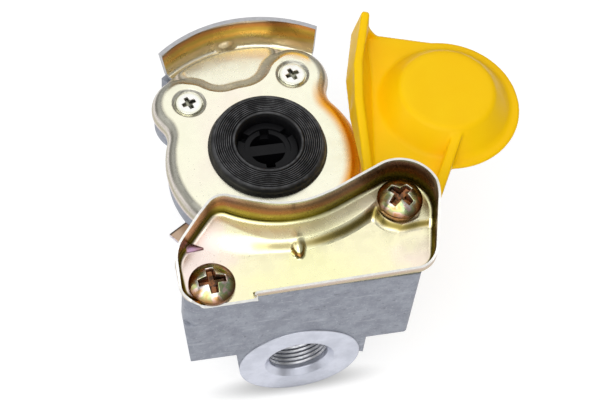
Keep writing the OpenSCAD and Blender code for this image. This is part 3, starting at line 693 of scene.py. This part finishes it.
def tongue_surface():
    """Points, faces and tint of the tab at the claw's left edge and of the punched tooth inside it.

    Both are patches between four corners, a corner pair at each end, bowed a little across.
    """
    rows, cols = 24, 13
    s, w = np.meshgrid(np.linspace(0, 1, rows), np.linspace(0, 1, cols), indexing="ij")
    s, w = s[..., None], w[..., None]

    def patch(a, b, c, d, z, fall, bow):
        a, b, c, d = map(np.array, (a, b, c, d))
        xy = (1 - s) * ((1 - w) * a + w * b) + s * ((1 - w) * d + w * c)
        return np.concatenate([xy, CLAW_UNDER + z - fall * w + bow * w * (1 - w)], -1).reshape(-1, 3)

    tab = patch((-39.4, -36.3), (-33.2, -44.4), (-27.6, -40.4), (-33.6, -32.6), 1.8, 1.0, 1.6)
    tooth = patch((-35.2, -39.6), (-35.2, -44.4), (-29.6, -44.0), (-29.6, -43.2), 2.4, 0.0, 2.4)
    return (np.vstack([tab, tooth]), np.vstack([quads(rows, cols), quads(rows, cols, False, rows * cols)]),
            np.concatenate([0.5 * s.ravel(), 0.6 + 0.4 * s.ravel()]))


def seal_profile():
    """Radius, height and crest of the seal from its foot outside to its bore; crest places the painted
    highlight.

    Conical outer wall, a shoulder of a quarter ellipse, ridges as a power of a raised cosine, and a bead as
    inner lip.
    """
    ridges, outer_r, inner_r = 8, 18.2, 12.5
    low = SEAL_FACE - 11
    wall = np.stack([np.linspace(21.0, 19.8, 8), np.linspace(low + 5, SEAL_FACE - 2.6, 8), np.zeros(8)], -1)
    a = np.linspace(0, np.pi / 2, 20)[1:]
    shoulder = np.stack([18.3 + 1.5 * np.cos(a), SEAL_FACE - 2.6 + 2.2 * np.sin(a), 0.5 * np.sin(a) ** 4], -1)
    r = np.linspace(outer_r, inner_r, 160)
    wave = 0.5 - 0.5 * np.cos((outer_r - r) / (outer_r - inner_r) * ridges * 2 * np.pi)
    face = np.stack([r, SEAL_FACE - 0.70 + 0.55 * wave ** 0.7, wave ** 3], -1)
    b = np.linspace(0, np.pi, 16)
    lip = np.stack([11.75 + 0.65 * np.cos(b), SEAL_FACE - 0.5 + 0.5 * np.sin(b), 0.5 * np.sin(b) ** 6], -1)
    bore = np.stack([np.full(6, 10.75), np.linspace(SEAL_FACE - 0.8, low, 6), np.zeros(6)], -1)
    return np.concatenate([wall, shoulder, face, lip, bore])


def turned(profile, n):
    """A profile of radius, height and value turned about Z: points, faces and value."""
    angle = np.linspace(0, 360, n, endpoint=False)
    xy = polar(profile[:, :1], angle[None, :])
    z = np.repeat(profile[:, 1:2], n, 1)
    points = lifted(xy, z)
    return points, quads(len(profile), n, True), np.repeat(profile[:, 2:3], n, 1)


def thread_ridge(pitch, depth, turns):
    """A helical ridge on the port's wall: a blunt triangle carried along a helix about the port's axis.

    The first and the last half turn grow from nothing.
    """
    a_turn = 96
    n = int(turns * a_turn)
    t = np.linspace(0, turns, n)
    grow = step(0, 0.5, t) * step(0, 0.5, turns - t)
    angle = 2 * np.pi * t
    rise, reach = np.array([0, 0.92, 1, 0.92, 0])[:, None], np.array([-0.46, -0.08, 0, 0.08, 0.46])[:, None]
    radius = PORT_WALL_R - depth * grow * rise
    along = PORT_FACE + THREAD_FROM + pitch * (t + reach)
    points = np.stack([PORT[0] + radius * np.cos(angle), along, PORT[2] + radius * np.sin(angle)], -1)
    return points, quads(len(rise), n)


def screw_surface(head_r, dome, side, recess, width, depth, shank, length, cone):
    """Points, faces and attributes of a screw about Z, the top of its head at z = 0.

    Rows run from the middle of the head over a dome that sags with the square of the radius, round its edge,
    down its side, under it and down the shank. The cross recess is the union of two bars that narrow
    outwards: depth times a smooth step of the distance into it.
    """
    n, tip_r, edge_r = 240, 0.02, 0.25
    flat_r = head_r - edge_r
    r = np.concatenate([np.linspace(tip_r, flat_r, 80),
                        flat_r + edge_r * np.sin(np.linspace(0, np.pi / 2, 6)[1:])])[:, None]
    angle = np.linspace(0, 360, n, endpoint=False)[None, :]
    xy = polar(r, angle)
    x, y = np.abs(xy[..., 0]), np.abs(xy[..., 1])
    bar = np.minimum(np.maximum(x - recess / 2, y - width / 2 * (1.12 - 0.5 * x / recess)),
                     np.maximum(y - recess / 2, x - width / 2 * (1.12 - 0.5 * y / recess)))
    into = 1 - step(-0.24 * width, 0.05, bar)
    sag = dome * (r / head_r) ** 2
    past = r - head_r + edge_r
    edge = np.where(r > flat_r, edge_r - np.sqrt(np.clip(edge_r ** 2 - past ** 2, 0, 1)), 0.0)
    z = -sag - edge - into * (depth - sag - 0.25 * depth * r / (recess / 2))
    top = lifted(xy, z)
    low = -dome - edge_r - side
    under_r, under = (shank, head_r - shank) if cone else (head_r - 0.2, 0.2)
    rest_r = np.array([head_r, under_r, shank, shank, tip_r])
    rest_z = np.array([low, low - under, low - under, -length, -length])
    rest_xy = polar(rest_r[:, None], angle)
    rest = lifted(rest_xy, np.repeat(rest_z[:, None], n, 1))
    points = np.concatenate([top, rest])
    below = np.zeros((len(rest_r), n))
    deep = np.concatenate([into, below])
    rim = np.concatenate([np.broadcast_to(r / head_r, into.shape), below + 1])
    petal = np.concatenate([(1 - step(0.3, 1.1, bar)) * (1 - step(0.66, 0.8, r / head_r)), below])
    return points, quads(len(points), n, True)[:, ::-1], dict(deep=deep, rim=rim, petal=petal)


def coil_surface(low, high, turns):
    """Points and faces of a coil spring that fills the box from low to high.

    A circle of the wire's radius is carried along a helix about Z. Both ends narrow to a point.
    """
    wire, sides, a_turn = 0.7, 12, 48
    r = (high[0] - low[0]) / 2 - wire
    angle = np.linspace(0, 2 * np.pi * turns, int(turns * a_turn))[:, None]
    around = np.linspace(0, 2 * np.pi, sides, endpoint=False)
    thick = np.full(angle.shape, wire)
    thick[[0, -1]] = 1e-3
    z = low[2] + wire + (high[2] - low[2] - 2 * wire) * angle / angle[-1] + thick * np.sin(around)
    reach = r + thick * np.cos(around)
    points = np.stack([reach * np.cos(angle), reach * np.sin(angle), z], -1)
    return points, quads(len(angle), sides, True)[:, ::-1]


class CouplingSizes(bpy.types.PropertyGroup):
    """Sizes of the visible detail, in metres."""
    thread_pitch: bpy.props.FloatProperty(
        name="Thread pitch", description="Pitch of the port's thread", default=0.0015, min=0.001, max=0.002,
        precision=5, unit="LENGTH")
    thread_depth: bpy.props.FloatProperty(
        name="Thread depth", description="Height of the thread's ridge", default=0.0006,
        min=0.0002, max=0.0009, precision=5, unit="LENGTH")
    cut_bevel: bpy.props.FloatProperty(
        name="Edge break", description="Width of the broken edge of the pressed sheets", default=0.0003,
        min=0.0, max=0.0008, precision=5, unit="LENGTH")
    cap_voxel: bpy.props.FloatProperty(
        name="Cap fineness", description="Grid on which the cap's corners are rounded", default=0.00045,
        min=0.0004, max=0.001, precision=5, unit="LENGTH")


class CouplingColours(bpy.types.PropertyGroup):
    """Colours of the finishes."""
    cap: bpy.props.FloatVectorProperty(
        name="Cap", description="Colour of the dust cap's plastic", default=(1.0, 0.62, 0.002),
        min=0, max=1, subtype="COLOR")
    casting: bpy.props.FloatVectorProperty(
        name="Casting", description="Lighter grey of the cast body", default=(0.345, 0.364, 0.417),
        min=0, max=1, subtype="COLOR")
    casting_dark: bpy.props.FloatVectorProperty(
        name="Casting, darker", description="Darker grey of the cast body's clouds",
        default=(0.25, 0.265, 0.312), min=0, max=1, subtype="COLOR")
    floor: bpy.props.FloatVectorProperty(
        name="Floor", description="Colour of the studio floor", default=(0.93, 0.93, 0.93),
        min=0, max=1, subtype="COLOR")


def sizes():
    return bpy.context.scene.coupling_sizes


def colours():
    return bpy.context.scene.coupling_colours


# Colours across the cover's rolled edge, up the claw's walls and over its pressed steps: painted shade and
# painted reflections
ROLLED = [(0.05, (0.74, 0.71, 0.56)), (0.25, (0.52, 0.51, 0.44)), (0.45, (0.26, 0.25, 0.21)),
          (0.6, (0.74, 0.68, 0.62)), (0.8, (0.46, 0.42, 0.30)), (1.0, (0.74, 0.64, 0.58))]
WALLS = [(0.04, (0.56, 0.50, 0.20)), (0.13, (0.15, 0.12, 0.012)), (0.34, (0.27, 0.20, 0.010)),
         (0.52, (0.24, 0.085, 0.012)), (0.72, (0.13, 0.055, 0.02)), (0.88, (0.32, 0.20, 0.13)),
         (0.97, (0.46, 0.46, 0.36))]
STEPS = [(0.1, (0.88, 0.80, 0.46)), (0.42, (0.50, 0.41, 0.16)), (0.7, (0.24, 0.19, 0.05)),
         (1.0, (0.46, 0.23, 0.07))]


class COUPLING_OT_cover(bpy.types.Operator):
    """Build the pressed cover with its rolled edge and crescent"""
    bl_idname = "coupling.cover"
    bl_label = "Cover"

    def execute(self, context):
        points, faces, values = cover_surface()
        obj = piece("cover_sheet", points, faces, "coupling", "chromated_sheet", "cover_plate", **values)
        cream = [(0.0, (0.87, 0.91, 0.70)), (0.3, (0.93, 0.92, 0.73)), (0.55, (0.94, 0.92, 0.74)),
                 (0.8, (0.95, 0.88, 0.75)), (1.0, (0.94, 0.89, 0.64))]
        dress(thicken(obj, COVER_T),
              chromate("cover_chromate", cream, ROLLED, warm_reflection=(0.80, 0.34, 0.012), bent=0.35), cut_edge())
        return {"FINISHED"}


class COUPLING_OT_wing(bpy.types.Operator):
    """Build the curved guide wing"""
    bl_idname = "coupling.wing"
    bl_label = "Guide wing"

    def execute(self, context):
        points, faces, values = wing_surface()
        obj = piece("wing_sheet", points, faces, "coupling", "chromated_sheet_wing", "guide_wing", **values)
        gold = [(0.0, (0.90, 0.86, 0.68)), (1.0, (0.94, 0.87, 0.66))]
        # Colours up the wall from foot to top: painted shade and painted reflections
        bands = [(0.05, (0.92, 0.86, 0.68)), (0.24, (0.94, 0.78, 0.50)), (0.4, (0.80, 0.62, 0.20)),
                 (0.54, (0.86, 0.50, 0.10)), (0.7, (0.54, 0.34, 0.05)), (0.86, (0.48, 0.19, 0.04)),
                 (0.95, (0.26, 0.13, 0.05)), (0.99, (0.50, 0.42, 0.36))]
        dress(thicken(obj, WING_T, sizes().cut_bevel / MM),
              chromate("wing_chromate", gold, bands, rough=0.30, flecks=0.0, bent=0.9, sway=0.5),
              cut_edge("wing_edge", (0.50, 0.50, 0.52)))
        return {"FINISHED"}


class COUPLING_OT_claw(bpy.types.Operator):
    """Build the pressed claw with its flange, step and bead"""
    bl_idname = "coupling.claw"
    bl_label = "Claw"

    def execute(self, context):
        points, faces, values = claw_surface()
        obj = piece("claw_sheet", points, faces, "coupling", "chromated_sheet", "claw_plate", **values)
        yellow = [(0.0, (0.93, 0.93, 0.56)), (0.35, (0.97, 0.94, 0.56)), (0.55, (0.97, 0.92, 0.62)),
                  (0.75, (0.97, 0.84, 0.70)), (1.0, (0.96, 0.82, 0.76))]
        thicken(obj, CLAW_T, sizes().cut_bevel / MM, 2, step(0.05, 0.4, values["bend"]), RIM_T / CLAW_T)
        # Colours round the flange's outer face: painted shade and painted reflections
        outside = [(0.1, (0.66, 0.60, 0.26)), (0.45, (0.54, 0.45, 0.22)), (0.7, (0.55, 0.43, 0.31)),
                   (0.95, (0.64, 0.53, 0.46))]
        dress(obj, chromate("claw_chromate", yellow, WALLS, STEPS, (0.66, 0.27, 0.02), bent=0.85), cut_edge(),
              chromate("claw_outside", yellow, outside, bent=0.85, sway=0.3))
        points, faces, along = tongue_surface()
        obj = piece("claw_tongue", points, faces, "coupling", "chromated_sheet", bend=0 * along, tint=along)
        plum = [(0.1, (0.50, 0.36, 0.26)), (0.45, (0.30, 0.19, 0.11)), (0.65, (0.34, 0.21, 0.31)),
                (1.0, (0.22, 0.12, 0.12))]
        dress(thicken(obj, TAB_T), chromate("tongue_chromate", plum, WALLS, flecks=0.0),
              cut_edge("tongue_edge", (0.78, 0.70, 0.76)))
        return {"FINISHED"}


class COUPLING_OT_seal(bpy.types.Operator):
    """Turn the ribbed rubber seal"""
    bl_idname = "coupling.seal"
    bl_label = "Seal"

    def execute(self, context):
        points, faces, crest = turned(seal_profile(), 300)
        obj = piece("ribbed_seal", points, faces, "coupling", "seal_rubber", "seal_ring", crest=crest)
        dress(obj, rubber())
        return {"FINISHED"}


class COUPLING_OT_screws(bpy.types.Operator):
    """Build the two countersunk and the two pan-head screws"""
    bl_idname = "coupling.screws"
    bl_label = "Screws"

    def execute(self, context):
        pale = [(0.0, (0.93, 0.94, 0.90)), (1.0, (0.98, 0.98, 0.95))]
        rainbow = [(0.0, (0.52, 0.30, 0.12)), (0.3, (0.54, 0.54, 0.24)), (0.5, (0.42, 0.54, 0.28)),
                   (0.75, (0.84, 0.62, 0.56)), (1.0, (0.60, 0.36, 0.15))]
        white = screw_metal("white_zinc", pale, (0.86, 0.85, 0.68), (0.22, 0.215, 0.16))
        bronze = screw_metal("yellow_zinc", rainbow, (0.18, 0.07, 0.02), (0.20, 0.07, 0.02), 0.2)
        flat = screw_surface(head_r=4.6, dome=0.12, side=0.0, recess=5.0, width=1.7, depth=1.8, shank=2.5,
                             length=16, cone=True)
        pan, tall = (screw_surface(head_r=7.5, dome=3.3, side=side, recess=9.2, width=3.0, depth=3.6,
                                   shank=2.5, length=20, cone=False) for side in (1.0, 2.6))
        for name, plan, top, turn, kind, metal in (
                ("cover_screw_left", polar(LOBE_RING, LOBE_LEFT), COVER_TOP, 20, flat, white),
                ("cover_screw_right", polar(LOBE_RING, LOBE_RIGHT), COVER_TOP, 20, flat, white),
                ("claw_screw", CLAW_SCREW, corners("claw_screw")[1][2], 4, pan, bronze),
                ("pivot_screw", PIVOT, corners("pivot_screw")[1][2], 40, tall, bronze)):
            points, faces, values = kind
            c, s = np.cos(np.radians(turn)), np.sin(np.radians(turn))
            place = points @ np.array([[c, s, 0], [-s, c, 0], [0, 0, 1]]) + [*plan, top]
            obj = piece(name + "_head", place, faces, "coupling", slot_of(name), name, **values)
            dress(obj, metal)
        return {"FINISHED"}


def slot_of(node):
    """The record's material slot of a CAD node."""
    return next(s["material_slot"] for s in frame["record"]["subparts"] if s["node"] == node)


class COUPLING_OT_casting(bpy.types.Operator):
    """Finish the cast body and cut the port's thread"""
    bl_idname = "coupling.casting"
    bl_label = "Casting and thread"

    def execute(self, context):
        material = cast((tuple(colours().casting_dark), tuple(colours().casting)))
        dress(frame["nodes"]["body_casting"], material)
        points, faces = thread_ridge(sizes().thread_pitch / MM, sizes().thread_depth / MM, turns=10.5)
        obj = piece("port_thread", points, faces, "coupling", slot_of("body_casting"))
        dress(obj, steel("thread_metal", (0.60, 0.61, 0.64), 0.36))
        return {"FINISHED"}


class COUPLING_OT_valve(bpy.types.Operator):
    """Finish the valve, its carrier and the small parts inside, and wind the spring that the valve presses"""
    bl_idname = "coupling.valve"
    bl_label = "Valve and inner parts"

    def execute(self, context):
        nodes = frame["nodes"]
        black = plastic("black_plastic", (0.004, 0.004, 0.005), (0.006, 0.006, 0.007), 0.4, 0.16)
        inner = plastic("inner_rubber", (0.010, 0.010, 0.011), (0.018, 0.018, 0.018), 0.5)
        zinc = steel("zinc_steel", (0.72, 0.73, 0.75))
        for name in ("seal_carrier", "valve_tappet"):
            dress(nodes[name], black)
        for name in ("carrier_o_ring", "valve_disc"):
            dress(nodes[name], inner)
        for name in ("cap_spring", "spring_seat", "pivot_bush", "thrust_washer"):
            dress(nodes[name], zinc)
        low, high = corners("valve_spring")
        points, faces = coil_surface(low, high, turns=7)
        coil = piece("valve_coil", points, faces, None, slot_of("valve_spring"), "valve_spring")
        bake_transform(coil)
        dress(coil, zinc)
        return {"FINISHED"}


class COUPLING_OT_cap(bpy.types.Operator):
    """Round and finish the dust cap"""
    bl_idname = "coupling.cap"
    bl_label = "Dust cap"

    def execute(self, context):
        obj = frame["nodes"]["dust_cap"]
        mesh = obj.modifiers.new("grid", "REMESH")
        mesh.mode = "VOXEL"
        mesh.voxel_size = sizes().cap_voxel
        mesh.use_smooth_shade = True
        soft = obj.modifiers.new("corners", "SMOOTH")
        soft.factor = 0.5
        soft.iterations = 10
        red, green, blue = colours().cap
        shade = (red * 0.98, green * 0.93, blue * 0.6)
        dress(obj, plastic("cap_yellow", (red, green, blue), shade, 0.38, 0.11))
        return {"FINISHED"}


# Studio, in metres: floor, and the painted shadow on it under the port's flange, in millimetres
FLOOR_HALF, FLOOR_LEVEL = 1.6, -0.0002
SHADE_HALF, SHADE_BACK, SHADE_DARK = (37.0, 6.0), 1.8, 0.52
# The floor's own white: strength, share seen by the camera and share seen in reflections
FLOOR_GLOW, GLOW_SEEN, GLOW_REFLECTED = 1.25, 0.6, 0.45
# Sky: the direction's height at both ends of a smooth rise, and the sky's strength at both ends
SKY = (-0.1, 0.85, 0.17, 0.32)
# Lamps: name, place, size and power
LAMPS = (("key", (0.16, 0.50, 0.85), 1.2, 2.65), ("left", (-0.9, 0.1, 0.4), 0.6, 1.3),
         ("front", (0.2, -0.95, 0.4), 0.7, 1.0), ("top", (-0.3, -0.5, 0.9), 1.3, 7.5))
LAMPS_AIM = (0.01, -0.01, 0.05)
# Camera, as fitted to the circles that the photo shows
CAMERA_LENS, CAMERA_PLACE = 103.79, (-0.084507, -0.314958, 0.554239)
CAMERA_RIGHT, CAMERA_UP = (0.979626, -0.188236, 0.069995), (0.12463, 0.843116, 0.523089)


class COUPLING_OT_stage(bpy.types.Operator):
    """Set up floor, with a painted shadow under the port's flange, lights, world and camera"""
    bl_idname = "coupling.stage"
    bl_label = "Stage"

    def execute(self, context):
        scene = context.scene
        count = 9
        side = np.linspace(-FLOOR_HALF, FLOOR_HALF, count)
        x, y = np.meshgrid(side, side)
        mesh = bpy.data.meshes.new("studio_floor")
        mesh.from_pydata(np.stack([x, y, np.full(x.shape, FLOOR_LEVEL)], -1).reshape(-1, 3).tolist(), [],
                         quads(count, count).tolist())
        floor = bpy.data.objects.new("studio_floor", mesh)
        scene.collection.objects.link(floor)
        n = Nodes("studio_floor")
        x, y, _ = n.xyz()
        # Painted shadow under the port's flange, darkening the floor's colour and its glow
        across = n.math("DIVIDE", n.math("SUBTRACT", x, PORT[0] * MM), SHADE_HALF[0] * MM)
        along = n.math("DIVIDE", n.math("SUBTRACT", y, (PORT_FACE + SHADE_BACK) * MM), SHADE_HALF[1] * MM)
        shade = n.grey(n.length(across, along), 0.2, 1.0, SHADE_DARK, 1.0)
        n.set(Base_Color=n.mix(shade, (0, 0, 0), tuple(colours().floor)), Roughness=0.9)
        path = n.add("ShaderNodeLightPath")
        seen = n.math("MAXIMUM", path.outputs["Is Glossy Ray"], path.outputs["Is Transmission Ray"])
        white = n.add("ShaderNodeEmission")
        n.link(n.math("MULTIPLY", shade, FLOOR_GLOW), white.inputs[1])
        mix = n.add("ShaderNodeMixShader")
        share = n.math("MULTIPLY", seen, GLOW_REFLECTED)
        n.link(n.math("MULTIPLY_ADD", path.outputs["Is Camera Ray"], GLOW_SEEN, share), mix.inputs[0])
        n.link(n.shader.outputs[0], mix.inputs[1])
        n.link(white.outputs[0], mix.inputs[2])
        n.link(mix.outputs[0], n.out.inputs[0])
        mesh.materials.append(n.material)

        world = bpy.data.worlds.new("studio")
        scene.world = world
        world.use_nodes = True
        tree = world.node_tree
        sky = tree.nodes["Background"]
        direction, parts, fall = (tree.nodes.new("ShaderNode" + kind)
                                  for kind in ("TexCoord", "SeparateXYZ", "MapRange"))
        fall.interpolation_type = "SMOOTHSTEP"
        for socket, value in zip(fall.inputs[1:5], SKY):
            socket.default_value = value
        tree.links.new(direction.outputs["Generated"], parts.inputs[0])
        tree.links.new(parts.outputs["Z"], fall.inputs[0])
        tree.links.new(fall.outputs[0], sky.inputs[1])
        sky.inputs[0].default_value = (1, 1, 1, 1)

        for name, place, size, power in LAMPS:
            lamp = bpy.data.lights.new(name, "AREA")
            lamp.shape = "DISK"
            lamp.size = size
            lamp.energy = power
            light = bpy.data.objects.new(name, lamp)
            scene.collection.objects.link(light)
            light.location = place
            light.rotation_euler = (Vector(LAMPS_AIM) - Vector(place)).to_track_quat("-Z", "Y").to_euler()

        camera = bpy.data.cameras.new("photo_angle")
        camera.lens = CAMERA_LENS
        camera.sensor_fit = "HORIZONTAL"
        camera.sensor_width = 36
        camera.clip_start = 0.01
        eye = bpy.data.objects.new("photo_angle", camera)
        scene.collection.objects.link(eye)
        right, up = Vector(CAMERA_RIGHT), Vector(CAMERA_UP)
        back = right.cross(up).normalized()
        turn = Matrix((right, back.cross(right), back)).transposed().to_4x4()
        eye.matrix_world = Matrix.Translation(CAMERA_PLACE) @ turn
        scene.camera = eye
        scene.view_settings.view_transform = "Standard"
        return {"FINISHED"}


OPERATORS = (COUPLING_OT_stage, COUPLING_OT_casting, COUPLING_OT_cover, COUPLING_OT_wing, COUPLING_OT_claw,
             COUPLING_OT_seal, COUPLING_OT_valve, COUPLING_OT_screws, COUPLING_OT_cap)


class COUPLING_PT_panel(bpy.types.Panel):
    """Lists the coupling's sizes, colours and pieces"""
    bl_idname = "COUPLING_PT_panel"
    bl_label = "Palm coupling"
    bl_space_type = "VIEW_3D"
    bl_region_type = "UI"
    bl_category = "Coupling"

    def draw(self, context):
        for group in (context.scene.coupling_sizes, context.scene.coupling_colours):
            column = self.layout.column()
            for key in group.__annotations__:
                column.prop(group, key)
        column = self.layout.column()
        for operator in OPERATORS:
            column.operator(operator.bl_idname)


CLASSES = (CouplingSizes, CouplingColours, *OPERATORS, COUPLING_PT_panel)


def register():
    for cls in CLASSES:
        bpy.utils.register_class(cls)
    bpy.types.Scene.coupling_sizes = bpy.props.PointerProperty(type=CouplingSizes)
    bpy.types.Scene.coupling_colours = bpy.props.PointerProperty(type=CouplingColours)


def unregister():
    del bpy.types.Scene.coupling_colours
    del bpy.types.Scene.coupling_sizes
    for cls in reversed(CLASSES):
        bpy.utils.unregister_class(cls)


def main():
    register()
    for operator in OPERATORS:
        group, name = operator.bl_idname.split(".")
        getattr(getattr(bpy.ops, group), name)()


if __name__ == "__main__":
    main()
